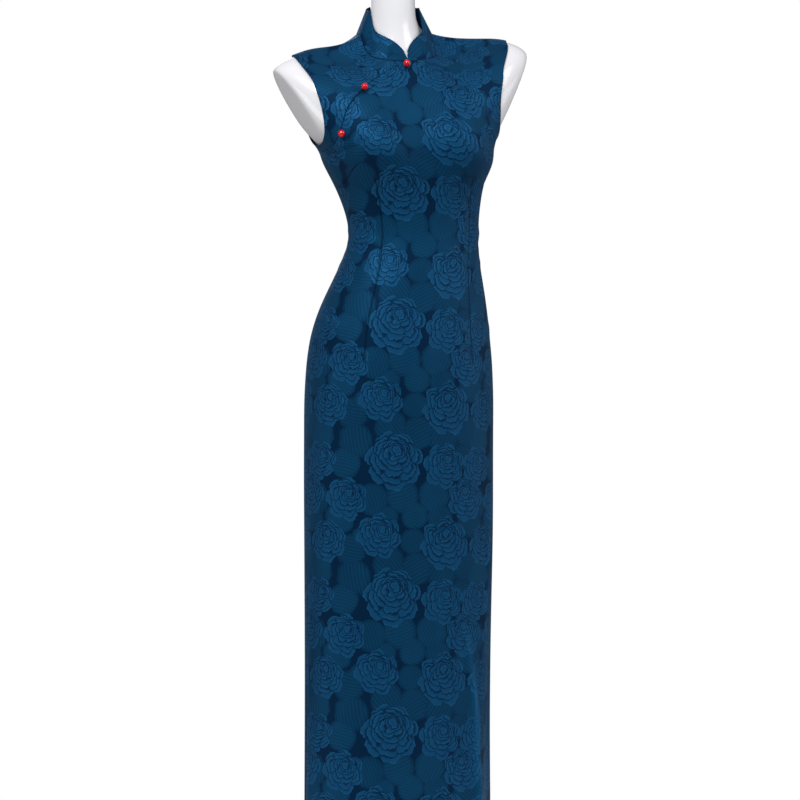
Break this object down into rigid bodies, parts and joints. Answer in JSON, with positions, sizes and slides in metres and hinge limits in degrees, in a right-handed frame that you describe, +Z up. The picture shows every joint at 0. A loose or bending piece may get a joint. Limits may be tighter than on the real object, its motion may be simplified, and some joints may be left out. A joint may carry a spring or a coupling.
{
  "type": "cheongsam dress on a limbless dress form",
  "caption": "Long sleeveless cheongsam with a stand collar, a slanted front opening with bead fastenings and side slits, on a limbless dress form with a round stand.",
  "frame": {"origin": "middle of the underside of the round stand, on the floor", "axes": "+Z up, -Y the way the wearer faces, +X the wearer's left"},
  "size_m": [0.4401, 0.36, 1.555],
  "materials": {
    "blue_jacquard_satin": "tone on tone rose jacquard with a soft satin sheen",
    "red_bead": "polished",
    "form_gloss_white": "smooth gloss",
    "stand_white": "satin paint"
  },
  "bodies": {
    "root": {"front_panel": "blue_jacquard_satin", "right_front_underlap": "blue_jacquard_satin", "back_panel": "blue_jacquard_satin", "collar": "blue_jacquard_satin", "collar_piping": "blue_jacquard_satin", "armhole_piping_right": "blue_jacquard_satin", "armhole_piping_left": "blue_jacquard_satin", "bead_loop_1": "blue_jacquard_satin", "bead_loop_2": "blue_jacquard_satin", "bead_loop_3": "blue_jacquard_satin", "bead_1": "red_bead", "bead_2": "red_bead", "bead_3": "red_bead", "form_torso": "form_gloss_white", "stand_pole": "stand_white", "stand_base": "stand_white"}
  },
  "joints": []
}
